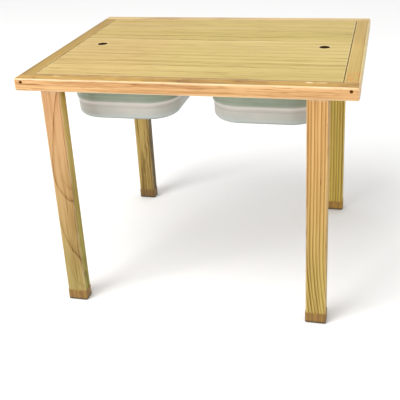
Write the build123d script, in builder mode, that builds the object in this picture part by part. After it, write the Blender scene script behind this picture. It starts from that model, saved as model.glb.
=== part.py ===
from build123d import *
from math import atan, degrees, radians, tan
import os

# Sand and water table: a timber frame on four legs carries a grooved-in deck
# panel, two hanging plastic tubs drop through the deck, and a flush lid with
# two finger holes turns it into a plain table.
# Frame: origin on the floor under the middle of the table, +X along the
# length, -Y the front, +Z up.  Millimetres.

# ---------------------------------------------------------------- dimensions
length = 750.0            # overall, along X
depth = 600.0             # overall, along Y
height = 570.0            # floor to table top

rail_t = 29.0             # frame rail thickness (Z)
rail_w = 34.0             # frame rail width, as seen from above
rail_round = 4.5          # rounded outer arrises
corner_round = 6.0        # rounded plan corners of the frame
inner_ease = 0.6          # eased inner top arris

deck_t = 9.0              # deck panel
deck_up = 6.0             # deck underside above the rail underside
groove = 8.0              # how far the deck edge sits in the rails

lid_t = 10.0
lid_gap = 1.5             # slit between lid and rails
lid_corner = 4.0
lid_round = 1.5
finger_d = 25.0
finger_x = 279.0
finger_round = 1.6

rest_h = 3.7              # strips on the deck that hold the lid up
rest_side_w = 22.0
rest_end_w = 20.0
rest_mid_w = 36.0

leg_x = 46.0              # leg section, wide face to the front
leg_y = 29.0
leg_round = 3.0
leg_end_inset = 60.0      # leg outer face to the end of the table
leg_front_inset = 3.0     # leg front face behind the rail face

cap_wall = 1.2            # foot cap, a cup pushed over the leg end
cap_base = 4.0
cap_h = 27.0

tub_pitch = 330.5         # centre to centre
tub_hx = 128.0            # half width of the outer wall under the rim
tub_hy = 216.5            # half length of the outer wall under the rim
tub_r = 73.5              # plan corner radius under the rim
tub_wall = 2.5
tub_rim = 14.0            # flange beyond the wall
tub_rim_t = 2.5
tub_gap = 0.3             # rim underside above the deck
tub_bottom = 447.5        # level of the tub underside
tub_step_z = 492.0        # top of the moulded shoulder
tub_step_h = 8.0          # height of its sloping face
tub_step = 2.8            # how far the wall steps in over that height
tub_step_r = 3.0          # rounding of the shoulder's upper edge
tub_draft = 1.2           # wall draft in degrees
tub_foot_r = 13.2         # rounded lower edge
cut_clear = 3.0           # deck cut-out round the tub wall

screw_drop = 8.4          # corner screw below the table top
screw_bore = 7.5
screw_bore_depth = 9.0
screw_shank = 4.0
screw_head = 7.0
screw_head_t = 2.6
screw_len = 55.0

dowel_d = 8.0
dowel_len = 40.0
dowel_z = 549.5

bolt_d = 8.0
bolt_in_leg = 38.0
bolt_in_rail = 14.0
insert_d = 11.0
insert_len = 17.0

# ------------------------------------------------------------ derived levels
hx, hy = length / 2, depth / 2
rail_z = height - rail_t                  # rail underside
deck_z = rail_z + deck_up                 # deck underside
deck_top = deck_z + deck_t
lid_z = height - lid_t
in_x, in_y = hx - rail_w, hy - rail_w     # inner faces of the frame
leg_cx = hx - leg_end_inset - leg_x / 2
leg_cy = hy - leg_front_inset - leg_y / 2
side_cx = hx - rail_w / 2
screw_z = height - screw_drop
rim_z = deck_top + tub_gap
rim_top = rim_z + tub_rim_t
dowel_x = side_cx + 4.0

os.makedirs("parts", exist_ok=True)


def save(item, name):
    item.part.label = name
    export_step(item.part, f"parts/{name}.step")


# --------------------------------------------------------- front and back rail
# Full-length rails.  Each has a stopped groove for the deck panel, a
# counterbored screw hole and a dowel hole into each side rail, and two blind
# holes underneath for the leg inserts.
with BuildPart() as front_rail:
    with BuildSketch(Plane.XY.offset(rail_z)):
        with Locations((0, -hy + rail_w / 2)):
            Rectangle(length, rail_w)
    extrude(amount=rail_t)
    corners = front_rail.edges().filter_by(Axis.Z).group_by(Axis.Y)[0]
    fillet(corners, radius=corner_round)
    outer = (
        front_rail.faces().sort_by(Axis.Z)[-1].edges()
        + front_rail.faces().sort_by(Axis.Z)[0].edges()
    ).filter_by(lambda e: not (e.center().Y > -hy + rail_w - 0.01))
    fillet(outer, radius=rail_round)
    inner = front_rail.edges().filter_by(Axis.X).group_by(Axis.Y)[-1].sort_by(Axis.Z)[-1]
    chamfer(inner, length=inner_ease)
    with BuildSketch(Plane.XY.offset(deck_z)):
        with Locations((0, -in_y - groove / 2)):
            Rectangle(2 * (in_x + groove), groove)
    extrude(amount=deck_t, mode=Mode.SUBTRACT)
    with Locations(Plane(origin=(0, -hy, 0), x_dir=(1, 0, 0), z_dir=(0, -1, 0))):
        with Locations((-side_cx, screw_z), (side_cx, screw_z)):
            CounterBoreHole(
                radius=screw_shank / 2 + 0.1,
                counter_bore_radius=screw_bore / 2,
                counter_bore_depth=screw_bore_depth,
            )
    with BuildSketch(Plane(origin=(0, -in_y, 0), x_dir=(1, 0, 0), z_dir=(0, -1, 0))):
        with Locations((-dowel_x, dowel_z), (dowel_x, dowel_z)):
            Circle(dowel_d / 2)
    extrude(amount=dowel_len / 2, mode=Mode.SUBTRACT)
    with BuildSketch(Plane.XY.offset(rail_z)):
        with Locations((-leg_cx, -leg_cy), (leg_cx, -leg_cy)):
            Circle(insert_d / 2)
    extrude(amount=insert_len, mode=Mode.SUBTRACT)
save(front_rail, "front_rail")

with BuildPart() as back_rail:
    mirror(front_rail.part, about=Plane.XZ)
save(back_rail, "back_rail")

# ----------------------------------------------------------------- side rails
# Butt between the long rails, grain along Y, grooved right through.
with BuildPart() as left_rail:
    with BuildSketch(Plane.XY.offset(rail_z)):
        with Locations((-side_cx, 0)):
            Rectangle(rail_w, 2 * in_y)
    extrude(amount=rail_t)
    fillet(left_rail.edges().filter_by(Axis.Y).group_by(Axis.X)[0], radius=rail_round)
    inner = left_rail.edges().filter_by(Axis.Y).group_by(Axis.X)[-1].sort_by(Axis.Z)[-1]
    chamfer(inner, length=inner_ease)
    with BuildSketch(Plane.XY.offset(deck_z)):
        with Locations((-in_x - groove / 2, 0)):
            Rectangle(groove, 2 * in_y)
    extrude(amount=deck_t, mode=Mode.SUBTRACT)
    for end in (-1, 1):
        face = Plane(origin=(0, end * in_y, 0), x_dir=(1, 0, 0), z_dir=(0, -1, 0))
        with BuildSketch(face):
            with Locations((-side_cx, screw_z)):
                Circle(screw_shank / 2 + 0.1)
        extrude(amount=end * (screw_len + screw_bore_depth - rail_w + 2), mode=Mode.SUBTRACT)
        with BuildSketch(face):
            with Locations((-dowel_x, dowel_z)):
                Circle(dowel_d / 2)
        extrude(amount=end * dowel_len / 2, mode=Mode.SUBTRACT)
save(left_rail, "left_rail")

with BuildPart() as right_rail:
    mirror(left_rail.part, about=Plane.YZ)
save(right_rail, "right_rail")

# ----------------------------------------------------------------- deck panel
# Held in the groove all round, with two rounded cut-outs for the tubs.
with BuildPart() as deck_panel:
    with BuildSketch(Plane.XY.offset(deck_z)):
        Rectangle(2 * (in_x + groove), 2 * (in_y + groove))
        with Locations((-tub_pitch / 2, 0), (tub_pitch / 2, 0)):
            RectangleRounded(
                2 * (tub_hx + cut_clear),
                2 * (tub_hy + cut_clear),
                tub_r + cut_clear,
                mode=Mode.SUBTRACT,
            )
    extrude(amount=deck_t)
    rims = (
        deck_panel.faces().sort_by(Axis.Z)[-1].inner_wires().edges()
    )
    fillet(rims, radius=1.0)
save(deck_panel, "deck_panel")

# ------------------------------------------------------------ lid rest strips
with BuildPart() as lid_rest_front:
    with BuildSketch(Plane.XY.offset(deck_top)):
        with Locations((0, -in_y + rest_end_w / 2)):
            Rectangle(2 * in_x, rest_end_w)
    extrude(amount=rest_h)
    fillet(
        lid_rest_front.edges().filter_by(Axis.X).group_by(Axis.Y)[-1].sort_by(Axis.Z)[-1],
        radius=1.0,
    )
save(lid_rest_front, "lid_rest_front")

with BuildPart() as lid_rest_back:
    mirror(lid_rest_front.part, about=Plane.XZ)
save(lid_rest_back, "lid_rest_back")

with BuildPart() as lid_rest_left:
    with BuildSketch(Plane.XY.offset(deck_top)):
        with Locations((-in_x + rest_side_w / 2, 0)):
            Rectangle(rest_side_w, 2 * (in_y - rest_end_w))
    extrude(amount=rest_h)
    fillet(
        lid_rest_left.edges().filter_by(Axis.Y).group_by(Axis.X)[-1].sort_by(Axis.Z)[-1],
        radius=1.0,
    )
save(lid_rest_left, "lid_rest_left")

with BuildPart() as lid_rest_right:
    mirror(lid_rest_left.part, about=Plane.YZ)
save(lid_rest_right, "lid_rest_right")

with BuildPart() as lid_rest_middle:
    with BuildSketch(Plane.XY.offset(deck_top)):
        Rectangle(rest_mid_w, 2 * (in_y - rest_end_w))
    extrude(amount=rest_h)
    fillet(
        lid_rest_middle.faces().sort_by(Axis.Z)[-1].edges().filter_by(Axis.Y), radius=1.0
    )
save(lid_rest_middle, "lid_rest_middle")

# ------------------------------------------------------------------ lid panel
with BuildPart() as lid_panel:
    with BuildSketch(Plane.XY.offset(lid_z)):
        RectangleRounded(2 * (in_x - lid_gap), 2 * (in_y - lid_gap), lid_corner)
        with Locations((-finger_x, 0), (finger_x, 0)):
            Circle(finger_d / 2, mode=Mode.SUBTRACT)
    extrude(amount=lid_t)
    top = lid_panel.faces().sort_by(Axis.Z)[-1]
    fillet(top.outer_wire().edges(), radius=lid_round)
    fillet(
        lid_panel.faces().sort_by(Axis.Z)[-1].inner_wires().edges(), radius=finger_round
    )
    fillet(
        lid_panel.faces().sort_by(Axis.Z)[0].inner_wires().edges(), radius=finger_round
    )
save(lid_panel, "lid_panel")


# ----------------------------------------------------------------------- tubs
# A drafted rounded-rectangle tub with a flat flange at the rim, a sloping
# shoulder part of the way down and a rounded foot.
# Its walls are drawn from the rim downwards, each length tapering inwards.
def lean(z):
    """How far the wall has come in at level z, the shoulder included."""
    shoulder = min(max((tub_step_z - z) / tub_step_h, 0.0), 1.0)
    return (rim_z - z) * tan(radians(tub_draft)) + tub_step * shoulder


def level(z):
    """A plane at level z that faces down, so that a taper leans inwards."""
    return Plane(origin=(0, 0, z), x_dir=(1, 0, 0), z_dir=(0, 0, -1))


def outline(inset):
    """The tub's plan outline, this far inside its outline at the rim."""
    RectangleRounded(2 * (tub_hx - inset), 2 * (tub_hy - inset), tub_r - inset)


def slope(top, bottom):
    """The wall's angle from plumb between two levels, in degrees."""
    return degrees(atan((lean(bottom) - lean(top)) / (top - bottom)))


step_low_z = tub_step_z - tub_step_h
floor_z = tub_bottom + tub_wall

with BuildPart() as tub:
    # outside: the upper wall, then the shoulder's slope
    for top, bottom in ((rim_z, tub_step_z), (tub_step_z, step_low_z)):
        with BuildSketch(level(top)):
            outline(lean(top))
        extrude(amount=top - bottom, taper=slope(top, bottom))
    ledge = tub.edges().filter_by_position(Axis.Z, tub_step_z - 0.1, tub_step_z + 0.1)
    fillet(ledge, radius=tub_step_r)
    # the lower wall and the foot
    with BuildSketch(level(step_low_z)):
        outline(lean(step_low_z))
    extrude(amount=step_low_z - tub_bottom, taper=tub_draft)
    fillet(tub.faces().sort_by(Axis.Z)[0].edges(), radius=tub_foot_r)
    # rim flange
    with BuildSketch(Plane.XY.offset(rim_z)):
        RectangleRounded(2 * (tub_hx + tub_rim), 2 * (tub_hy + tub_rim), tub_r + tub_rim)
    extrude(amount=tub_rim_t)
    fillet(tub.faces().sort_by(Axis.Z)[-1].edges(), radius=1.0)
with BuildPart() as tub_core:
    # inside, one wall thickness smaller all over
    for top, bottom in ((rim_top, tub_step_z), (tub_step_z, step_low_z), (step_low_z, floor_z)):
        with BuildSketch(level(top)):
            outline(lean(top) + tub_wall)
        extrude(amount=top - bottom, taper=slope(top, bottom))
    fillet(tub_core.faces().sort_by(Axis.Z)[0].edges(), radius=tub_foot_r - tub_wall)

for side, name in ((-1, "tub_left"), (1, "tub_right")):
    with BuildPart() as hung_tub:
        with Locations((side * tub_pitch / 2, 0, 0)):
            add(tub.part)
            add(tub_core.part, mode=Mode.SUBTRACT)
    save(hung_tub, name)

# ----------------------------------------------------------------------- legs
# Rectangular legs standing under the long rails, bored in the top for the
# hanger bolt.  The foot cap hides the last part of each.
leg_spots = {
    "leg_front_left": (-leg_cx, -leg_cy),
    "leg_front_right": (leg_cx, -leg_cy),
    "leg_back_left": (-leg_cx, leg_cy),
    "leg_back_right": (leg_cx, leg_cy),
}
for name, (px, py) in leg_spots.items():
    with BuildPart() as leg:
        with BuildSketch(Plane.XY.offset(cap_base)):
            with Locations((px, py)):
                RectangleRounded(leg_x, leg_y, leg_round)
        extrude(amount=rail_z - cap_base)
        chamfer(leg.faces().sort_by(Axis.Z)[0].edges(), length=1.0)
        with BuildSketch(Plane.XY.offset(rail_z)):
            with Locations((px, py)):
                Circle(bolt_d / 2)
        extrude(amount=-bolt_in_leg, mode=Mode.SUBTRACT)
    save(leg, name)

    with BuildPart() as cap:
        with BuildSketch():
            with Locations((px, py)):
                RectangleRounded(
                    leg_x + 2 * cap_wall, leg_y + 2 * cap_wall, leg_round + cap_wall
                )
        extrude(amount=cap_h)
        fillet(cap.faces().sort_by(Axis.Z)[0].edges(), radius=3.0)
        with BuildSketch(Plane.XY.offset(cap_base)):
            with Locations((px, py)):
                RectangleRounded(leg_x, leg_y, leg_round)
        extrude(amount=cap_h, mode=Mode.SUBTRACT)
        fillet(cap.faces().sort_by(Axis.Z)[-1].outer_wire().edges(), radius=0.5)
    save(cap, name.replace("leg_", "foot_cap_"))

# ------------------------------------------------------------- corner joinery
# One screw and one dowel at each corner, driven along Y into the side rails.
with BuildPart() as corner_screws:
    for sx in (-1, 1):
        for sy in (-1, 1):
            seat = Plane(
                origin=(sx * side_cx, sy * (hy - screw_bore_depth), screw_z),
                x_dir=(1, 0, 0),
                z_dir=(0, -sy, 0),
            )
            with BuildSketch(seat.offset(-screw_head_t)):
                Circle(screw_head / 2)
            extrude(amount=screw_head_t)
            with BuildSketch(seat):
                Circle(screw_shank / 2)
            extrude(amount=screw_len - 4.0)
            with BuildSketch(seat.offset(screw_len - 4.0)):
                Circle(screw_shank / 2)
            extrude(amount=4.0, taper=24)
            with BuildSketch(seat.offset(-screw_head_t)):
                Rectangle(4.4, 1.1)
                Rectangle(1.1, 4.4)
            extrude(amount=1.6, mode=Mode.SUBTRACT)
save(corner_screws, "corner_screws")

with BuildPart() as corner_dowels:
    for sx in (-1, 1):
        for sy in (-1, 1):
            middle = Plane(
                origin=(sx * dowel_x, sy * (in_y - dowel_len / 2), dowel_z),
                x_dir=(1, 0, 0),
                z_dir=(0, sy, 0),
            )
            with BuildSketch(middle):
                Circle(dowel_d / 2)
            extrude(amount=dowel_len)
save(corner_dowels, "corner_dowels")

# ---------------------------------------------------------------- leg joinery
# A hanger bolt glued in each leg top screws up into a threaded insert in the
# rail, so the legs unscrew for transport.
with BuildPart() as leg_inserts:
    with BuildSketch(Plane.XY.offset(rail_z)):
        with Locations(*leg_spots.values()):
            Circle(insert_d / 2)
            Circle(bolt_d / 2, mode=Mode.SUBTRACT)
    extrude(amount=insert_len)
save(leg_inserts, "leg_inserts")

with BuildPart() as leg_bolts:
    with BuildSketch(Plane.XY.offset(rail_z - bolt_in_leg)):
        with Locations(*leg_spots.values()):
            Circle(bolt_d / 2)
    extrude(amount=bolt_in_leg + bolt_in_rail)
    chamfer(leg_bolts.faces().sort_by(Axis.Z)[-4:].edges(), length=0.8)
save(leg_bolts, "leg_bolts")
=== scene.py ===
import math

import bmesh
import bpy
from mathutils import Matrix, Vector


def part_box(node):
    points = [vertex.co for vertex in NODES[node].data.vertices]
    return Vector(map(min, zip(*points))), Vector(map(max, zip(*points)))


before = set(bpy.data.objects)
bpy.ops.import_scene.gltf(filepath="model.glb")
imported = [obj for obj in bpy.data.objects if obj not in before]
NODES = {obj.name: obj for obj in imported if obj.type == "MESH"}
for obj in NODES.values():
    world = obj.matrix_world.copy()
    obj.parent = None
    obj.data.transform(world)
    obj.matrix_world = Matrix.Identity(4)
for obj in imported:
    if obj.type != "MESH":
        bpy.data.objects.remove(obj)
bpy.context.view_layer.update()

scene = bpy.context.scene


# ------------------------------------------------------------------ colours
def lin(r, g, b, a=1.0):
    """A display colour, 0 to 255, as a linear one."""
    def f(c):
        c /= 255.0
        return c / 12.92 if c <= 0.04045 else ((c + 0.055) / 1.055) ** 2.4
    return (f(r), f(g), f(b), a)


# ------------------------------------------------------------- node helpers
class Tree:
    """A short way to write a material's nodes."""

    def __init__(self, name):
        self.mat = bpy.data.materials.new(name)
        self.mat.use_nodes = True
        self.nt = self.mat.node_tree
        self.nt.nodes.clear()
        self.out = self.nt.nodes.new("ShaderNodeOutputMaterial")
        self.bsdf = self.nt.nodes.new("ShaderNodeBsdfPrincipled")
        self.nt.links.new(self.bsdf.outputs[0], self.out.inputs[0])

    def link(self, a, b):
        self.nt.links.new(a, b)

    def put(self, sock, v):
        if isinstance(v, bpy.types.NodeSocket):
            self.link(v, sock)
        elif v is not None:
            sock.default_value = v

    def math(self, op, a, b=None, c=None, clamp=False):
        n = self.nt.nodes.new("ShaderNodeMath")
        n.operation, n.use_clamp = op, clamp
        for i, v in enumerate((a, b, c)):
            if v is not None:
                self.put(n.inputs[i], v)
        return n.outputs[0]

    def vmath(self, op, a, b=None, scale=None):
        n = self.nt.nodes.new("ShaderNodeVectorMath")
        n.operation = op
        self.put(n.inputs[0], a)
        if b is not None:
            self.put(n.inputs[1], b)
        if scale is not None:
            self.put(n.inputs["Scale"], scale)
        return n.outputs["Value"] if op in ("LENGTH", "DISTANCE", "DOT_PRODUCT") else n.outputs[0]

    def xyz(self, x, y, z):
        n = self.nt.nodes.new("ShaderNodeCombineXYZ")
        for i, v in enumerate((x, y, z)):
            self.put(n.inputs[i], v)
        return n.outputs[0]

    def split(self, v):
        n = self.nt.nodes.new("ShaderNodeSeparateXYZ")
        self.link(v, n.inputs[0])
        return n.outputs[0], n.outputs[1], n.outputs[2]

    def coords(self):
        return self.nt.nodes.new("ShaderNodeTexCoord").outputs["Object"]

    def noise(self, vec, scale=1.0, detail=2.0, rough=0.5, dim="3D", w=None, distortion=0.0):
        n = self.nt.nodes.new("ShaderNodeTexNoise")
        n.noise_dimensions = dim
        if dim != "1D":
            self.put(n.inputs["Vector"], vec)
        if w is not None:
            self.put(n.inputs["W"], w)
        self.put(n.inputs["Scale"], scale)
        self.put(n.inputs["Detail"], detail)
        self.put(n.inputs["Roughness"], rough)
        self.put(n.inputs["Distortion"], distortion)
        return n.outputs[0]

    def white(self, w):
        n = self.nt.nodes.new("ShaderNodeTexWhiteNoise")
        n.noise_dimensions = "1D"
        self.put(n.inputs["W"], w)
        return n.outputs["Value"]

    def voronoi(self, vec, scale, feature="F1", randomness=1.0):
        n = self.nt.nodes.new("ShaderNodeTexVoronoi")
        n.feature = feature
        self.put(n.inputs["Vector"], vec)
        self.put(n.inputs["Scale"], scale)
        self.put(n.inputs["Randomness"], randomness)
        return n.outputs["Distance"]

    def ramp(self, fac, stops, interp="LINEAR"):
        n = self.nt.nodes.new("ShaderNodeValToRGB")
        cr = n.color_ramp
        cr.interpolation = interp
        while len(cr.elements) > 1:
            cr.elements.remove(cr.elements[-1])
        for i, (p, c) in enumerate(stops):
            e = cr.elements[0] if i == 0 else cr.elements.new(p)
            e.position = p
            e.color = c if isinstance(c, (tuple, list)) else (c, c, c, 1)
        self.put(n.inputs[0], fac)
        return n.outputs[0]

    def smooth(self, v, lo, hi, a=0.0, b=1.0):
        n = self.nt.nodes.new("ShaderNodeMapRange")
        n.interpolation_type = "SMOOTHSTEP"
        for s, x in zip(("Value", "From Min", "From Max", "To Min", "To Max"), (v, lo, hi, a, b)):
            self.put(n.inputs[s], x)
        return n.outputs[0]

    def mix(self, fac, a, b, mode="MIX"):
        n = self.nt.nodes.new("ShaderNodeMix")
        n.data_type, n.blend_type, n.clamp_factor = "RGBA", mode, True
        self.put(n.inputs[0], fac)
        self.put(n.inputs[6], a)
        self.put(n.inputs[7], b)
        return n.outputs[2]

    def bump(self, height, strength, distance):
        n = self.nt.nodes.new("ShaderNodeBump")
        self.put(n.inputs["Height"], height)
        self.put(n.inputs["Strength"], strength)
        self.put(n.inputs["Distance"], distance)
        self.link(n.outputs[0], self.bsdf.inputs["Normal"])

    def shader(self, **kw):
        for k, v in kw.items():
            self.put(self.bsdf.inputs[k.replace("_", " ")], v)
        return self.mat


def edge_distance(t, p, lo, hi):
    """How far a surface point is from the nearest arris of its box, in metres."""
    c = [(a + b) / 2 for a, b in zip(lo, hi)]
    h = [(b - a) / 2 for a, b in zip(lo, hi)]
    d = []
    for v, ci, hi_ in zip(t.split(p), c, h):
        d.append(t.math("SUBTRACT", hi_, t.math("ABSOLUTE", t.math("SUBTRACT", v, ci))))
    lo_ab, hi_ab = t.math("MINIMUM", d[0], d[1]), t.math("MAXIMUM", d[0], d[1])
    return t.math("MAXIMUM", lo_ab, t.math("MINIMUM", hi_ab, d[2]))


# --------------------------------------------------------------------- wood
def wood(
    name, node, along, seed, light, mid, dark, ring=0.0045, pith=(0.02, 0.09), slope=(0.0, 0.0),
    warp=0.0035, line=0.55, group=0.55, late_w=0.30, streak=0.30, tone=0.35, fine=0.25,
    painted_face_shade=None, foot=None, loops=None, lines=None, swirl=None, lean=None, fleck=0.35,
    gloss=0.44, base=0.10, split=None, even=0.0, veins=(), painted_hole_shade_and_rim=(), joints=(), zones=(),
    marks=(), rub_and_highlight=0.38, spec=0.24, coat=0.05, vary=1.9, ripple=None, rub_highlight_min=0.25, trail=0.38, painted_arris_light_and_shade=(),
):
    """Pine.  Growth rings are cylinders about a pith that lies beside the board,
    so faces, edges and ends all agree; fibres run along the board."""
    t = Tree(name)
    lo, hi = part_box(node)
    c = [(a + b) / 2 for a, b in zip(lo, hi)]
    p = t.coords()
    geo = t.nt.nodes.new("ShaderNodeNewGeometry")
    x, y, z = t.split(p)
    x = t.math("SUBTRACT", x, c[0])
    y = t.math("SUBTRACT", y, c[1])
    z = t.math("SUBTRACT", z, c[2])
    g, u, v = {"X": (x, y, z), "Y": (y, x, z), "Z": (z, x, y)}[along]
    if split:
        # a group of separate pieces: each pair of ends gets its own run of grain
        g = t.math("ADD", g, t.math("MULTIPLY", t.math("SIGN", u), split))

    gs = t.math("ADD", g, seed * 1.731)
    q = t.xyz(gs, t.math("ADD", u, seed * 0.37), t.math("ADD", v, seed * 0.19))

    # slow wander of the rings, long along the grain
    n1 = t.noise(t.vmath("MULTIPLY", q, (2.1, 8.0, 8.0)), 1.0, 2.0, 0.45)
    n2 = t.noise(t.vmath("MULTIPLY", q, (6.5, 30.0, 30.0)), 1.0, 2.0, 0.5)
    n3 = t.noise(t.vmath("MULTIPLY", q, (26.0, 120.0, 120.0)), 1.0, 1.0, 0.5)
    wob = t.math("ADD", t.math("MULTIPLY", t.math("SUBTRACT", n1, 0.5), warp * 5.0),
                 t.math("ADD", t.math("MULTIPLY", t.math("SUBTRACT", n2, 0.5), warp * 1.3),
                        t.math("MULTIPLY", t.math("SUBTRACT", n3, 0.5), warp * 0.28 if ripple is None else ripple)))
    uu = t.math("ADD", t.math("SUBTRACT", u, pith[0]), t.math("ADD", wob, t.math("MULTIPLY", g, slope[0])))
    if lean:
        # the grain runs out sideways near one end
        g0, reach, shift = lean
        k = t.math("DIVIDE", t.math("MAXIMUM", t.math("SUBTRACT", g0, g), 0.0), reach)
        uu = t.math("ADD", uu, t.math("MULTIPLY", t.math("MULTIPLY", k, k), shift))
    vv = t.math("ADD", t.math("SUBTRACT", v, -pith[1]), t.math("ADD", t.math("MULTIPLY", wob, 0.7), t.math("MULTIPLY", g, slope[1])))
    rad = t.math("SQRT", t.math("ADD", t.math("MULTIPLY", uu, uu), t.math("MULTIPLY", vv, vv)))

    def years(spacing, off, w_late, power):
        rr = t.math("DIVIDE", rad, spacing)
        # wide and narrow years
        rr = t.math("ADD", rr, t.math("MULTIPLY", t.noise(None, 0.42, 1.0, dim="1D", w=t.math("ADD", rr, seed + off)), vary))
        year, fr = t.math("FLOOR", rr), t.math("FRACT", rr)
        lat = t.ramp(fr, [(0.0, 0.03), (0.25, 0.05), (max(0.94 - w_late * 1.6, 0.3), 0.22), (0.94 - w_late * 0.5, 0.85), (0.93, 1.0), (0.985, 0.35), (1.0, 0.03)])
        strength = t.math("POWER", t.white(t.math("ADD", year, seed * 3.0 + off)), power)
        clump = t.smooth(t.noise(None, 0.27, 1.0, dim="1D", w=t.math("ADD", year, seed * 5.0 + off)), 0.34, 0.66, 1.0 - group, 1.0)
        strength = t.math("ADD", 0.25 + 0.60 * even, t.math("MULTIPLY", strength, 0.75 - 0.60 * even))
        return t.math("MULTIPLY", lat, t.math("MULTIPLY", strength, clump))

    late = years(ring, 0.0, late_w, 1.2)
    # the figure comes and goes along the board
    fade = t.noise(t.vmath("MULTIPLY", q, (1.9, 13.0, 13.0)), 1.0, 1.0, 0.5)
    late = t.math("MULTIPLY", late, t.smooth(fade, 0.30, 0.60, 0.50 + 0.40 * even, 1.0))
    hair = years(ring * 0.29, 40.0, 0.40, 1.0)

    # fibres
    f1 = t.noise(t.vmath("MULTIPLY", q, (9.0, 520.0, 520.0)), 1.0, 2.0, 0.6)
    f2 = t.noise(t.vmath("MULTIPLY", q, (3.2, 120.0, 120.0)), 1.0, 2.0, 0.55)
    f3 = t.noise(t.vmath("MULTIPLY", q, (40.0, 2200.0, 2200.0)), 1.0, 1.0, 0.5)
    fib = t.math("ADD", t.math("MULTIPLY", t.math("SUBTRACT", f1, 0.5), 0.9),
                 t.math("ADD", t.math("MULTIPLY", t.math("SUBTRACT", f2, 0.5), 1.3), t.math("MULTIPLY", t.math("SUBTRACT", f3, 0.5), 0.4)))
    # broad changes of tone
    b1 = t.noise(t.vmath("MULTIPLY", q, (1.3, 8.0, 8.0)), 1.0, 2.0, 0.5)
    b2 = t.noise(t.vmath("MULTIPLY", q, (2.6, 42.0, 42.0)), 1.0, 1.0, 0.5)
    broad = t.math("ADD", t.math("SUBTRACT", b1, 0.5), t.math("MULTIPLY", t.math("SUBTRACT", b2, 0.5), 0.9))

    amt = t.math("ADD", t.math("MULTIPLY", late, line), t.math("ADD", t.math("MULTIPLY", fib, streak), t.math("MULTIPLY", broad, tone)))
    amt = t.math("ADD", amt, t.math("ADD", base, t.math("MULTIPLY", hair, fine)))

    for k, (sa, su, hw, st) in enumerate(veins):
        # thin dark lines that wander with the rings, joining and parting
        rv = t.xyz(t.math("MULTIPLY", gs, sa), t.math("MULTIPLY", rad, su), t.math("ADD", t.math("MULTIPLY", v, su * 0.15), seed + 5.1 * k))
        nv = t.noise(rv, 1.0, 1.5, 0.55)
        vein = t.smooth(t.math("ABSOLUTE", t.math("SUBTRACT", nv, 0.5)), 0.0, hw, 1.0, 0.0)
        some = t.smooth(t.noise(t.vmath("MULTIPLY", q, (2.4, 17.0 + 9.0 * k, 17.0)), 1.0, 1.0, 0.5), 0.33, 0.62, 0.55, 1.0)
        amt = t.math("ADD", amt, t.math("MULTIPLY", t.math("MULTIPLY", vein, some), st))
    if lines:
        # single strong years at given places across the board: (place, half width, strength, side it fades to)
        for k, (at, hw, st, tail) in enumerate(lines):
            wn = t.noise(None, 1.0, 2.0, 0.5, dim="1D", w=t.math("ADD", t.math("MULTIPLY", g, 5.0), seed + 3.3 * k))
            d = t.math("ADD", t.math("SUBTRACT", u, at), t.math("ADD", t.math("MULTIPLY", t.math("SUBTRACT", wn, 0.5), 0.024), wob))
            body = t.smooth(t.math("ABSOLUTE", d), 0.0, hw, st, 0.0)
            side = t.math("MULTIPLY", t.smooth(t.math("MULTIPLY", d, tail), 0.0, hw * 7.0, 1.0, 0.0), t.math("GREATER_THAN", t.math("MULTIPLY", d, tail), 0.0))
            come = t.smooth(t.noise(None, 1.0, 1.0, 0.5, dim="1D", w=t.math("ADD", t.math("MULTIPLY", g, 3.1), seed * 2.0 + 7.7 * k)), 0.28, 0.55, 0.25, 1.0)
            amt = t.math("ADD", amt, t.math("MULTIPLY", come, t.math("ADD", body, t.math("MULTIPLY", side, st * trail))))
    if loops:
        # flat-sawn figure on the face across v: (u, g, up slope, down slope, up power, radius, half width, strength, only below)
        facing = t.smooth(t.math("ABSOLUTE", t.split(geo.outputs["Normal"])[1 if along == "Z" else 2]), 0.55, 0.85, 0.0, 1.0)
        for k, (u0, g0, bu, bd, pw, rk, hw, st, below) in enumerate(loops):
            wn = t.noise(t.vmath("MULTIPLY", q, (8.0, 22.0, 0.0)), 1.0, 3.0, 0.55)
            du = t.math("ABSOLUTE", t.math("SUBTRACT", u, u0))
            dg = t.math("SUBTRACT", g, g0)
            up = t.math("MULTIPLY", t.math("MAXIMUM", dg, 0.0), bu)
            dn = t.math("MULTIPLY", t.math("MAXIMUM", t.math("MULTIPLY", dg, -1.0), 0.0), bd)
            ru = t.math("POWER", t.math("ADD", t.math("POWER", t.math("MULTIPLY", du, 20.0), pw), t.math("POWER", t.math("MULTIPLY", up, 20.0), pw)), 1.0 / pw)
            rd = t.math("SQRT", t.math("ADD", t.math("POWER", t.math("MULTIPLY", du, 20.0), 2.0), t.math("POWER", t.math("MULTIPLY", dn, 20.0), 2.0)))
            isup = t.math("GREATER_THAN", dg, 0.0)
            rr = t.math("ADD", t.math("MULTIPLY", ru, isup), t.math("MULTIPLY", rd, t.math("SUBTRACT", 1.0, isup)))
            d = t.math("SUBTRACT", t.math("ADD", t.math("MULTIPLY", rr, 0.05), t.math("MULTIPLY", t.math("SUBTRACT", wn, 0.5), 0.010)), rk)
            thin = t.smooth(t.noise(t.vmath("MULTIPLY", q, (19.0, 31.0, 31.0)), 1.0, 2.0, 0.5), 0.36, 0.60, 0.45, 1.0)
            core = t.math("MULTIPLY", t.smooth(t.math("ABSOLUTE", d), 0.0, hw, st, 0.0), thin)
            inner = t.math("MULTIPLY", t.smooth(t.math("MULTIPLY", d, -1.0), 0.0, hw * 6.0, 0.40 * st, 0.0), t.math("LESS_THAN", d, 0.0))
            m = t.math("ADD", core, inner)
            if below:
                m = t.math("MULTIPLY", m, t.smooth(dg, -0.02, 0.02, 1.0, 0.0))
            amt = t.math("ADD", amt, t.math("MULTIPLY", m, facing))

    col = t.ramp(t.math("ADD", amt, 0.0, clamp=True), [(0.0, light), (0.42, mid), (1.0, dark)])
    if foot:
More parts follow.
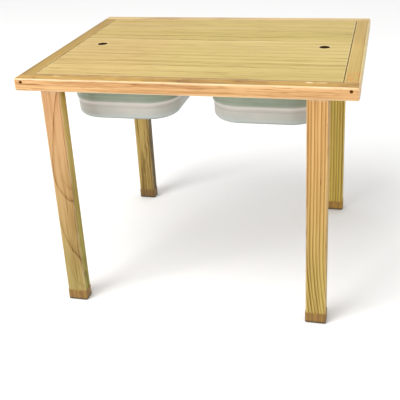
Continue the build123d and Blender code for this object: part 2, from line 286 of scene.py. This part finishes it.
        # another, darker palette towards the foot of a leg
        low = t.ramp(t.math("ADD", amt, 0.0, clamp=True), [(0.0, foot[0]), (0.42, foot[1]), (1.0, foot[2])])
        f = t.smooth(t.math("ADD", z, t.math("MULTIPLY", t.math("SUBTRACT", b1, 0.5), 0.25)), lo[2] - c[2], hi[2] - c[2], 0.0, 1.0)
        col = t.mix(f, low, col)
    if painted_face_shade:
        # painted shade and light: faces turned along one axis get another tint, standing in for how the light falls on
        # them
        ax = {"x": 0, "y": 1, "z": 2}[painted_face_shade[0]]
        f = t.smooth(t.math("ABSOLUTE", t.split(geo.outputs["Normal"])[ax]), 0.45, 0.85, 0.0, 1.0)
        col = t.mix(f, col, t.mix(1.0, col, painted_face_shade[1], "MULTIPLY"))
    # resin canals and pores: short fine dashes
    dash = t.voronoi(t.vmath("MULTIPLY", q, (38.0, 620.0, 620.0)), 1.0)
    dash = t.math("MULTIPLY", t.smooth(dash, 0.05, 0.22, 1.0, 0.0), t.smooth(f2, 0.45, 0.62, 0.0, fleck))
    col = t.mix(dash, col, t.mix(1.0, col, (0.55, 0.42, 0.28, 1), "MULTIPLY"))
    for axis, a, b, soft, shade in zones:
        # a broad stretch that took the finish another shade
        w = {"g": g, "u": u, "v": v}[axis]
        w = t.math("ADD", w, t.math("MULTIPLY", t.math("SUBTRACT", b1, 0.5), soft))
        f = t.math("MULTIPLY", t.smooth(w, a - soft, a + soft, 0.0, 1.0), t.smooth(w, b - soft, b + soft, 1.0, 0.0))
        col = t.mix(f, col, t.mix(1.0, col, shade, "MULTIPLY"))
    for mg, mu, mlen, mwid, shade, st in marks:
        # a small mark on the wide face: pitch, a chip, a knock
        n = t.noise(t.vmath("MULTIPLY", q, (90.0, 240.0, 240.0)), 1.0, 2.0, 0.55)
        dg = t.math("DIVIDE", t.math("SUBTRACT", g, mg), mlen)
        du = t.math("DIVIDE", t.math("ADD", t.math("SUBTRACT", u, mu), t.math("MULTIPLY", t.math("SUBTRACT", n, 0.5), mwid * 1.5)), mwid)
        dd = t.math("ADD", t.math("MULTIPLY", dg, dg), t.math("MULTIPLY", du, du))
        col = t.mix(t.smooth(t.math("ADD", dd, t.math("MULTIPLY", t.math("SUBTRACT", n, 0.5), 0.9)), 0.35, 1.1, st, 0.0), col, shade)
    if swirl:
        # a warm patch where the grain turns round a branch
        sx, sy, sr, scol = swirl
        dx, dy = t.math("SUBTRACT", g, sx), t.math("SUBTRACT", u, sy)
        n = t.noise(t.vmath("MULTIPLY", q, (60.0, 60.0, 60.0)), 1.0, 2.0, 0.5)
        dd = t.math("ADD", t.vmath("LENGTH", t.xyz(t.math("MULTIPLY", dx, 0.55), dy, 0.0)), t.math("MULTIPLY", t.math("SUBTRACT", n, 0.5), sr * 1.6))
        band = t.smooth(t.math("ABSOLUTE", t.math("SUBTRACT", dd, sr * 0.6)), 0.0, sr * 0.36, 0.72, 0.0)
        col = t.mix(band, col, scol)
    # eased arrises: paler where the lacquer is rubbed thin, and a painted highlight along them; a few dark knocks
    ed = edge_distance(t, p, lo, hi)
    rub = t.noise(t.vmath("MULTIPLY", q, (22.0, 60.0, 60.0)), 1.0, 3.0, 0.6)
    wear_and_highlight = t.math("MULTIPLY", t.smooth(ed, 0.0004, 0.0045, 1.0, 0.0), t.smooth(rub, 0.34, 0.62, rub_highlight_min, 1.0))
    col = t.mix(t.math("MULTIPLY", wear_and_highlight, rub_and_highlight), col, t.mix(0.50, light, (1, 0.84, 0.60, 1)))
    knock = t.math("MULTIPLY", t.smooth(t.voronoi(t.vmath("MULTIPLY", q, (30.0, 70.0, 70.0)), 1.0), 0.03, 0.12, 1.0, 0.0),
                   t.smooth(ed, 0.001, 0.007, 0.5, 0.03))
    col = t.mix(knock, col, t.mix(1.0, col, (0.50, 0.36, 0.24, 1), "MULTIPLY"))

    for side, inset, st in painted_arris_light_and_shade:
        # the rounded outer arris: a painted highlight on it, and a fine line of painted shade where the rounding starts
        half = (hi[(1, 0, 0)["XYZ".index(along)]] - lo[(1, 0, 0)["XYZ".index(along)]]) / 2
        d = t.math("SUBTRACT", half, t.math("MULTIPLY", u, float(side)))
        pale = t.math("MULTIPLY", t.smooth(d, inset * 0.75, inset, st, 0.0), t.smooth(rub, 0.30, 0.60, 0.6, 1.0))
        col = t.mix(pale, col, t.mix(0.40, light, (1, 0.93, 0.62, 1)))
        painted_shade_line = t.math("MULTIPLY", t.smooth(t.math("ABSOLUTE", t.math("SUBTRACT", d, inset + 0.0010)), 0.0, 0.0016, 1.0, 0.0), t.smooth(f2, 0.35, 0.6, 0.5, 1.0))
        col = t.mix(t.math("MULTIPLY", painted_shade_line, st), col, t.mix(1.0, col, (0.48, 0.42, 0.22, 1), "MULTIPLY"))
    for axis, side, width, st in joints:
        # painted shade along a joint, where shade falls into the gap between parts
        a = {"g": ("XYZ".index(along), g), "u": ((1, 0, 0)["XYZ".index(along)], u), "v": ((2, 2, 1)["XYZ".index(along)], v)}[axis]
        half = (hi[a[0]] - lo[a[0]]) / 2
        n = t.noise(t.vmath("MULTIPLY", q, (45.0, 45.0, 45.0)), 1.0, 3.0, 0.6)
        d = t.math("SUBTRACT", half, t.math("MULTIPLY", a[1], float(side)))
        f = t.math("MULTIPLY", t.smooth(d, width * 0.4, width, st, 0.0), t.smooth(n, 0.25, 0.60, 0.65, 1.0))
        col = t.mix(f, col, t.mix(1.0, col, (0.30, 0.19, 0.09, 1), "MULTIPLY"))
    for bg_, bu_, br_ in painted_hole_shade_and_rim:
        # the wall of a bored hole: end grain that soaked up the finish, painted darker still as shade in the hole; a
        # painted highlight round its rim
        d = t.vmath("LENGTH", t.xyz(t.math("SUBTRACT", g, bg_), t.math("SUBTRACT", u, bu_), 0.0))
        wall = t.math("MULTIPLY", t.smooth(d, br_ + 0.0002, br_ + 0.0007, 1.0, 0.0), t.smooth(t.math("ABSOLUTE", t.split(geo.outputs["True Normal"])[2]), 0.35, 0.6, 1.0, 0.0))
        painted_rim_highlight = t.smooth(t.math("ABSOLUTE", t.math("SUBTRACT", d, br_ + 0.0012)), 0.0, 0.0016, 0.55, 0.0)
        col = t.mix(painted_rim_highlight, col, t.mix(0.5, light, (1, 0.86, 0.68, 1)))
        col = t.mix(wall, col, lin(58, 38, 20))

    rough = t.math("ADD", gloss, t.math("ADD", t.math("MULTIPLY", late, -0.05), t.math("ADD", t.math("MULTIPLY", fib, 0.10), t.math("MULTIPLY", wear_and_highlight, 0.08))), clamp=True)
    height = t.math("ADD", t.math("MULTIPLY", late, 0.45), t.math("ADD", t.math("MULTIPLY", fib, 0.55), t.math("MULTIPLY", t.math("ADD", dash, knock), -0.8)))
    t.bump(height, 0.35, 0.00035)
    t.shader(Base_Color=col, Roughness=rough, Coat_Weight=coat, Coat_Roughness=0.25, IOR=1.45, Specular_IOR_Level=spec)
    return t.mat


def finish_node(node, mat):
    o = NODES[node]
    for s in o.material_slots:
        s.material = mat


# ------------------------------------------------------------------ plywood
def plywood(name, node, light, dark):
    t = Tree(name)
    lo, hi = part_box(node)
    p = t.coords()
    x, y, z = t.split(p)
    f1 = t.noise(t.vmath("MULTIPLY", p, (5.0, 260.0, 260.0)), 1.0, 3.0, 0.6)
    f2 = t.noise(t.vmath("MULTIPLY", p, (2.0, 40.0, 40.0)), 1.0, 3.0, 0.55, distortion=0.6)
    b = t.noise(t.vmath("MULTIPLY", p, (3.0, 6.0, 6.0)), 1.0, 2.0, 0.5)
    face = t.mix(t.math("ADD", t.math("MULTIPLY", f1, 0.35), t.math("ADD", t.math("MULTIPLY", f2, 0.45), t.math("MULTIPLY", b, 0.3)), clamp=True), light, dark)
    # the edge shows the plies, light and dark in turn
    k = t.math("DIVIDE", t.math("SUBTRACT", z, lo[2]), (hi[2] - lo[2]) / 7.0)
    odd = t.math("GREATER_THAN", t.math("FRACT", t.math("MULTIPLY", t.math("FLOOR", k), 0.5)), 0.25)
    glue = t.smooth(t.math("ABSOLUTE", t.math("SUBTRACT", t.math("FRACT", k), 0.5)), 0.40, 0.5, 0.0, 1.0)
    grit = t.noise(t.vmath("MULTIPLY", p, (600.0, 600.0, 1500.0)), 1.0, 2.0, 0.6)
    edge = t.mix(odd, light, t.mix(1.0, light, (0.55, 0.45, 0.36, 1), "MULTIPLY"))
    edge = t.mix(t.math("MULTIPLY", glue, 0.6), edge, t.mix(1.0, light, (0.28, 0.20, 0.14, 1), "MULTIPLY"))
    edge = t.mix(t.smooth(grit, 0.3, 0.8, 0.0, 0.45), edge, dark)
    geo = t.nt.nodes.new("ShaderNodeNewGeometry")
    up = t.math("ABSOLUTE", t.split(geo.outputs["True Normal"])[2])
    col = t.mix(t.smooth(up, 0.45, 0.75, 0.0, 1.0), edge, face)
    t.bump(t.math("ADD", t.math("MULTIPLY", f1, 0.6), t.math("MULTIPLY", grit, 0.4)), 0.3, 0.0003)
    t.shader(Base_Color=col, Roughness=t.math("ADD", 0.48, t.math("MULTIPLY", f1, 0.12)), Coat_Weight=0.10, Coat_Roughness=0.3, IOR=1.5)
    return t.mat


# ------------------------------------------------------------------ plastic
def frosted(name, painted_leg_shadow, seed):
    """Frosted polypropylene.  Above the shoulder the wall is grey-green, painted
    darker as shade from the frame above; from the shoulder down it is paler and cloudier."""
    t = Tree(name)
    p = t.coords()
    q = t.vmath("ADD", p, (seed, seed * 0.7, 0.0))
    x, y, z = t.split(p)
    cloud = t.noise(t.vmath("MULTIPLY", q, (9.0, 9.0, 22.0)), 1.0, 3.0, 0.5)
    fine = t.noise(t.vmath("MULTIPLY", q, (900.0, 900.0, 900.0)), 1.0, 2.0, 0.6)
    flow = t.noise(t.vmath("MULTIPLY", q, (14.0, 14.0, 420.0)), 1.0, 2.0, 0.6)
    band = t.noise(t.vmath("MULTIPLY", q, (3.0, 3.0, 130.0)), 1.0, 2.0, 0.5)
    scuff = t.noise(t.vmath("MULTIPLY", q, (70.0, 70.0, 620.0)), 1.0, 3.0, 0.65, distortion=0.4)
    scuff = t.smooth(scuff, 0.60, 0.74, 0.0, 1.0)
    low = t.mix(t.smooth(cloud, 0.3, 0.7, 0.0, 1.0), lin(216, 212, 203), lin(198, 198, 190))
    # bluish-grey towards the bottom; the dark line along the bottom edge is painted shade where the tub turns under
    low = t.mix(t.smooth(z, 0.452, 0.474, 0.80, 0.0), low, lin(186, 196, 192))
    low = t.mix(t.smooth(z, 0.4492, 0.4550, 0.95, 0.0), low, lin(120, 124, 118))
    upper_tint_and_shade = t.mix(t.smooth(cloud, 0.3, 0.7, 0.0, 1.0), lin(166, 180, 160), lin(148, 164, 144))
    zz = t.math("ADD", z, t.math("MULTIPLY", t.math("SUBTRACT", flow, 0.5), 0.0016))
    col = t.mix(t.smooth(zz, 0.4892, 0.4955, 0.0, 1.0), low, upper_tint_and_shade)
    # painted shade: the upper wall is darkest close under the frame
    col = t.mix(t.smooth(z, 0.512, 0.538, 0.0, 0.55), col, t.mix(1.0, col, (0.72, 0.74, 0.68, 1), "MULTIPLY"))
    for at, wide, st in ((0.4962, 0.0016, 0.22), (0.5040, 0.0020, 0.18), (0.5115, 0.0016, 0.14)):
        col = t.mix(t.math("MULTIPLY", t.smooth(t.math("ABSOLUTE", t.math("SUBTRACT", zz, at)), 0.0, wide, 1.0, 0.0), st), col, lin(206, 210, 196))
    if painted_leg_shadow:
        # painted shadow of the nearby leg, darkening one end
        end = t.smooth(t.math("MULTIPLY", x, painted_leg_shadow[0]), painted_leg_shadow[1], painted_leg_shadow[2], 0.0, 1.0)
        end = t.math("MULTIPLY", end, t.smooth(z, 0.462, 0.492, 0.15, 0.62))
        col = t.mix(end, col, t.mix(1.0, col, (0.50, 0.54, 0.50, 1), "MULTIPLY"))
    # a painted highlight along the shoulder's slope, and a faint darker line below it
    col = t.mix(t.math("MULTIPLY", t.smooth(t.math("ABSOLUTE", t.math("SUBTRACT", zz, 0.4872)), 0.0012, 0.0050, 1.0, 0.0), 0.55), col, lin(234, 224, 214))
    col = t.mix(t.math("MULTIPLY", t.smooth(t.math("ABSOLUTE", t.math("SUBTRACT", zz, 0.4785)), 0.0004, 0.0018, 1.0, 0.0), 0.35), col, lin(172, 168, 158))
    col = t.mix(t.math("MULTIPLY", t.smooth(band, 0.35, 0.7, 0.0, 1.0), 0.22), col, t.mix(1.0, col, (0.78, 0.80, 0.76, 1), "MULTIPLY"))
    col = t.mix(t.math("MULTIPLY", scuff, 0.25), col, lin(236, 236, 232))
    rough = t.math("ADD", 0.34, t.math("ADD", t.math("MULTIPLY", scuff, 0.16), t.math("MULTIPLY", fine, 0.12)), clamp=True)
    t.bump(t.math("ADD", t.math("MULTIPLY", fine, 0.5), t.math("ADD", t.math("MULTIPLY", flow, 0.35), t.math("MULTIPLY", scuff, 0.2))), 0.22, 0.00022)
    t.shader(Base_Color=col, Roughness=rough, Transmission_Weight=0.14, IOR=1.49, Subsurface_Weight=0.20, Subsurface_Radius=(0.012, 0.013, 0.011), Subsurface_Scale=1.0)
    return t.mat


def rubber(name, tone, seed):
    """Brown translucent foot cap with the leg's grain showing faintly through,
    darker towards the sole and dusty near the floor."""
    t = Tree(name)
    p = t.coords()
    q = t.vmath("ADD", p, (seed, seed * 1.3, 0.0))
    x, y, z = t.split(p)
    grain = t.noise(t.vmath("MULTIPLY", q, (240.0, 240.0, 8.0)), 1.0, 3.0, 0.6)
    mott = t.noise(t.vmath("MULTIPLY", q, (70.0, 70.0, 90.0)), 1.0, 3.0, 0.6)
    fine = t.noise(t.vmath("MULTIPLY", q, (1500.0, 1500.0, 1500.0)), 1.0, 1.0, 0.5)
    col = t.mix(t.smooth(grain, 0.3, 0.7, 0.0, 1.0), lin(176, 134, 66), lin(132, 94, 40))
    col = t.mix(t.smooth(mott, 0.4, 0.75, 0.0, 0.4), col, lin(110, 80, 38))
    col = t.mix(t.smooth(z, 0.0015, 0.0080, 0.9, 0.0), col, lin(52, 38, 18))
    col = t.mix(t.smooth(z, 0.0245, 0.0268, 0.0, 0.35), col, lin(196, 158, 96))
    dust = t.math("MULTIPLY", t.smooth(mott, 0.55, 0.75, 0.0, 0.5), t.smooth(z, 0.0, 0.014, 1.0, 0.0))
    col = t.mix(dust, col, lin(190, 176, 150))
    col = t.mix(1.0, col, (tone, tone * 0.98, tone * 0.60, 1), "MULTIPLY")
    t.bump(t.math("ADD", t.math("MULTIPLY", mott, 0.6), t.math("MULTIPLY", fine, 0.5)), 0.25, 0.0003)
    t.shader(Base_Color=col, Roughness=t.math("ADD", 0.42, t.math("MULTIPLY", mott, 0.22)), Coat_Weight=0.08, Coat_Roughness=0.35, IOR=1.5)
    return t.mat


def metal(name, colour, shade, rough, seed):
    t = Tree(name)
    p = t.coords()
    n = t.noise(t.vmath("MULTIPLY", p, (700.0, 700.0, 700.0)), 1.0, 3.0, 0.6)
    m = t.noise(t.vmath("MULTIPLY", p, (160.0 + seed, 160.0, 160.0)), 1.0, 2.0, 0.5)
    col = t.mix(t.smooth(m, 0.35, 0.7, 0.0, 1.0), colour, shade)
    t.bump(n, 0.2, 0.0001)
    t.shader(Base_Color=col, Metallic=1.0, Roughness=t.math("ADD", rough, t.math("MULTIPLY", n, 0.2)))
    return t.mat


# ------------------------------------------------------------- wooden pieces
def shades(*rgb):
    return tuple(lin(*c) for c in rgb)


LID = shades((197, 175, 106), (169, 144, 72), (116, 90, 37))
RAIL = shades((216, 173, 121), (186, 140, 90), (130, 82, 42))
SIDE = shades((166, 133, 52), (144, 110, 35), (102, 74, 19))
SIDE_R = shades((188, 158, 83), (166, 136, 63), (120, 92, 34))
LEG_FL = shades((192, 149, 106), (170, 125, 81), (100, 56, 24))
LEG_FR = shades((209, 166, 108), (169, 124, 70), (108, 68, 30))
LEG_BL = shades((172, 146, 86), (126, 101, 52), (74, 54, 22))
LEG_BR = shades((208, 180, 95), (172, 143, 64), (106, 82, 26))
# painted shade and light: tints for faces by how they face the light, the sides of the legs and the top of the front
# rail
SIDE_SHADE_TINT = (0.92, 0.90, 0.42, 1)
SIDE_SHADE_TINT_PALE = (1.09, 1.31, 0.71, 1)
TOP_SHADE_TINT = (0.68, 0.67, 0.265, 1)

finish_node("lid_panel", wood("pine_lid", "lid_panel", "X", 3.1, *LID, ring=0.0185, pith=(-0.75, 0.12), slope=(0.010, 0.004), warp=0.0040, line=0.44, group=0.45, late_w=0.18, streak=0.24, tone=0.30, fine=0.24, base=0.02, even=0.5, vary=1.6, ripple=0.0038, trail=0.07,
    veins=[(2.2, 70.0, 0.024, 0.26), (5.0, 150.0, 0.045, 0.22)],
    lines=[(-0.176, 0.0040, 0.60, 1.0), (-0.150, 0.0030, 0.40, 1.0), (0.052, 0.0036, 0.55, 1.0), (0.088, 0.0038, 0.50, 1.0), (-0.238, 0.0030, 0.35, 1.0), (0.190, 0.0044, 0.35, -1.0)],
    zones=[("u", 0.06, 0.155, 0.016, (0.93, 0.94, 0.78, 1)), ("g", -0.40, -0.10, 0.09, (1.0, 0.94, 0.98, 1)), ("u", 0.19, 0.30, 0.03, (0.94, 0.93, 0.80, 1))],
    painted_hole_shade_and_rim=[(-0.279, 0.0, 0.0125), (0.279, 0.0, 0.0125)], joints=[("u", -1, 0.0022, 0.85), ("g", 1, 0.0005, 0.4), ("u", 1, 0.0012, 0.5)]))
finish_node("front_rail", wood("pine_front_rail", "front_rail", "X", 1.7, *RAIL, ring=0.0068, pith=(0.02, -0.30), slope=(0.004, 0.012), warp=0.0040, line=0.46, streak=0.80, tone=0.40, fine=0.25, base=0.06, painted_face_shade=("z", TOP_SHADE_TINT), rub_and_highlight=1.0, rub_highlight_min=0.72,
    veins=[(4.5, 120.0, 0.040, 0.30), (9.0, 300.0, 0.06, 0.30)], joints=[("u", 1, 0.0034, 0.75)],
    marks=[(-0.302, 0.0138, 0.014, 0.0022, lin(112, 74, 30), 0.85), (-0.281, 0.0075, 0.012, 0.0026, lin(232, 200, 146), 0.60), (-0.275, 0.0135, 0.013, 0.0019, lin(120, 84, 38), 0.80), (-0.260, 0.0100, 0.008, 0.0015, lin(140, 100, 50), 0.5),
           (0.273, 0.0085, 0.009, 0.0020, lin(255, 240, 200), 0.85), (0.299, 0.0085, 0.014, 0.0016, lin(250, 226, 172), 0.70)]))
finish_node("back_rail", wood("pine_back_rail", "back_rail", "X", 5.3, *RAIL, ring=0.0064, pith=(-0.02, -0.26), slope=(-0.004, 0.010), warp=0.0036, line=0.48, streak=0.70, tone=0.55, base=0.04, painted_face_shade=("z", (0.87, 1.05, 0.98, 1)), rub_and_highlight=0.75,
    veins=[(4.0, 110.0, 0.05, 0.30)], joints=[("u", -1, 0.0022, 0.7)]))
finish_node("left_rail", wood("pine_left_rail", "left_rail", "Y", 8.9, *SIDE, ring=0.0060, pith=(0.20, 0.03), slope=(0.006, 0.0), warp=0.0030, line=0.42, streak=0.45, tone=0.50, base=0.04,
    veins=[(3.0, 90.0, 0.05, 0.22)], joints=[("g", -1, 0.0010, 0.6), ("g", 1, 0.0010, 0.6)], painted_arris_light_and_shade=[(-1, 0.0048, 0.70)], zones=[("u", -0.03, -0.006, 0.003, (0.88, 0.86, 0.78, 1))]))
finish_node("right_rail", wood("pine_right_rail", "right_rail", "Y", 6.4, *SIDE_R, ring=0.0080, pith=(-0.20, 0.04), slope=(-0.006, 0.003), warp=0.0034, line=0.38, streak=0.42, tone=0.55, base=0.02, swirl=(-0.232, 0.004, 0.022, lin(190, 130, 52)),
    veins=[(3.0, 90.0, 0.05, 0.20)], joints=[("u", -1, 0.0006, 0.4), ("g", -1, 0.0008, 0.5), ("g", 1, 0.0008, 0.5)], painted_arris_light_and_shade=[(1, 0.0048, 0.75)], zones=[("g", 0.03, 0.30, 0.05, (0.88, 0.84, 0.78, 1))]))
finish_node("leg_front_left", wood("pine_leg_front_left", "leg_front_left", "Z", 2.2, *LEG_FL, spec=0.12, coat=0.02, ring=0.0078, pith=(0.16, 0.03), slope=(0.006, 0.004), warp=0.0040, line=0.20, group=0.4, streak=0.80, tone=0.50, fine=0.26, base=0.04,
    foot=shades((162, 145, 90), (140, 120, 66), (88, 63, 26)), painted_face_shade=("x", SIDE_SHADE_TINT_PALE),
    lines=[(0.0188, 0.0013, 0.50, 1.0)], veins=[(6.0, 260.0, 0.07, 0.22)],
    loops=[(0.023, 0.070, 0.20, 0.62, 1.3, 0.0425, 0.0015, 0.66, False), (0.023, 0.070, 0.20, 0.62, 1.3, 0.0230, 0.0013, 0.26, True),
           (0.023, 0.070, 0.20, 0.22, 1.3, 0.0500, 0.0014, 0.46, True), (0.023, 0.070, 0.20, 0.20, 1.3, 0.0610, 0.0013, 0.14, True)]))
finish_node("leg_front_right", wood("pine_leg_front_right", "leg_front_right", "Z", 4.6, *LEG_FR, spec=0.12, coat=0.02, ring=0.0070, pith=(0.30, 0.06), slope=(-0.003, 0.004), warp=0.0016, line=0.86, group=0.2, late_w=0.28, streak=0.50, tone=0.26, fine=0.20, base=0.04, even=0.6, vary=0.8,
    foot=shades((184, 161, 92), (148, 123, 60), (92, 67, 26)), painted_face_shade=("x", SIDE_SHADE_TINT), lean=(-0.06, 0.18, -0.013), marks=[(0.085, 0.008, 0.010, 0.0012, lin(120, 70, 26), 0.7)]))
finish_node("leg_back_left", wood("pine_leg_back_left", "leg_back_left", "Z", 7.5, *LEG_BL, spec=0.12, coat=0.02, ring=0.0060, pith=(-0.16, 0.05), slope=(0.006, 0.003), warp=0.0030, line=0.55, streak=0.95, tone=1.0, base=0.14, painted_face_shade=("x", (0.50, 0.50, 0.28, 1)), veins=[(7.0, 150.0, 0.06, 0.40)]))
finish_node("leg_back_right", wood("pine_leg_back_right", "leg_back_right", "Z", 9.8, *LEG_BR, spec=0.12, coat=0.02, ring=0.0078, pith=(0.26, 0.05), slope=(0.002, 0.003), warp=0.0015, line=0.92, group=0.2, late_w=0.32, streak=0.42, tone=0.30, base=0.0, even=0.6, vary=0.8, painted_face_shade=("x", SIDE_SHADE_TINT),
    marks=[(0.03, 0.012, 0.045, 0.0014, lin(150, 84, 40), 0.6)]))
REST = shades((222, 186, 128), (200, 158, 98), (160, 112, 58))
for i, n in enumerate(("front", "back", "left", "right", "middle")):
    along = "X" if n in ("front", "back") else "Y"
    finish_node("lid_rest_" + n, wood("pine_rest_" + n, "lid_rest_" + n, along, 12.0 + i * 1.9, *REST, ring=0.0042, pith=(0.15, 0.03), line=0.5))
finish_node("deck_panel", plywood("birch_ply", "deck_panel", lin(224, 196, 150), lin(178, 140, 92)))
finish_node("corner_dowels", wood("beech_dowels", "corner_dowels", "Y", 20.0, *shades((216, 180, 134), (198, 158, 112), (170, 124, 80)), ring=0.003, line=0.2, split=0.7))
for i, (n, tone) in enumerate((("front_left", 0.74), ("front_right", 0.70), ("back_left", 0.47), ("back_right", 1.08))):
    finish_node("foot_cap_" + n, rubber("cap_" + n, tone, 1.0 + i * 2.3))
finish_node("corner_screws", metal("bronzed_steel", lin(176, 120, 66), lin(128, 82, 44), 0.34, 3.0))
finish_node("leg_bolts", metal("zinc_steel", lin(176, 178, 180), lin(150, 152, 156), 0.28, 9.0))
finish_node("leg_inserts", metal("brass", lin(212, 176, 96), lin(178, 140, 70), 0.26, 5.0))
for i, n in enumerate(("left", "right")):
    finish_node("tub_" + n, frosted("frosted_tub_" + n, (-1.0, 0.268, 0.300) if n == "left" else None, 1.0 + 4.0 * i))

# -------------------------------------------------------------------- stage
bm = bmesh.new()
bmesh.ops.create_grid(bm, x_segments=8, y_segments=8, size=14.0)
me = bpy.data.meshes.new("floor")
bm.to_mesh(me)
bm.free()
floor = bpy.data.objects.new("floor", me)
scene.collection.objects.link(floor)
ft = Tree("floor_paint")
fn = ft.noise(ft.coords(), 3.0, 3.0, 0.5)
ft.shader(Base_Color=ft.mix(ft.smooth(fn, 0.3, 0.7, 0.0, 0.04), (0.90, 0.90, 0.90, 1), (0.86, 0.86, 0.87, 1)), Roughness=0.85)
me.materials.append(ft.mat)

world = bpy.data.worlds.new("studio")
scene.world = world
world.use_nodes = True
bg = world.node_tree.nodes["Background"]
bg.inputs[0].default_value = (1.0, 1.0, 1.0, 1)
bg.inputs[1].default_value = 0.86


def area(name, at, to, size, watts, colour=(1, 1, 1)):
    d = bpy.data.lights.new(name, "AREA")
    d.shape, d.size, d.size_y = "RECTANGLE", size[0], size[1]
    d.energy, d.color = watts, colour
    o = bpy.data.objects.new(name, d)
    scene.collection.objects.link(o)
    o.location = at
    o.rotation_euler = (Vector(to) - Vector(at)).to_track_quat("-Z", "Y").to_euler()
    return o


area("key", (-2.6, -3.2, 3.4), (0.0, 0.0, 0.35), (2.4, 2.4), 130.0, (1.0, 0.985, 0.96))
area("top", (-0.9, -1.6, 4.2), (0.0, 0.0, 0.4), (2.6, 1.6), 70.0)

# ------------------------------------------------------------------- camera
cam = bpy.data.cameras.new("camera")
cam.sensor_width = 36.0
cam.lens = 732.0 / 400.0 * 36.0
cam.shift_x, cam.shift_y = -0.025, -0.125
cam.clip_start, cam.clip_end = 0.05, 60.0
cam_o = bpy.data.objects.new("camera", cam)
scene.collection.objects.link(cam_o)
right = Vector((0.9723, 0.2290, -0.0467))
down = Vector((0.0476, -0.3898, -0.9197))
ahead = Vector((-0.2288, 0.8920, -0.3899))
m = Matrix((right, -down, -ahead)).transposed().to_4x4()
m.translation = Vector((0.4225, -1.6973, 1.0324))
cam_o.matrix_world = m
scene.camera = cam_o

scene.view_settings.view_transform = "Standard"
scene.view_settings.look = "None"
scene.view_settings.exposure = 0.0
scene.view_settings.gamma = 1.0
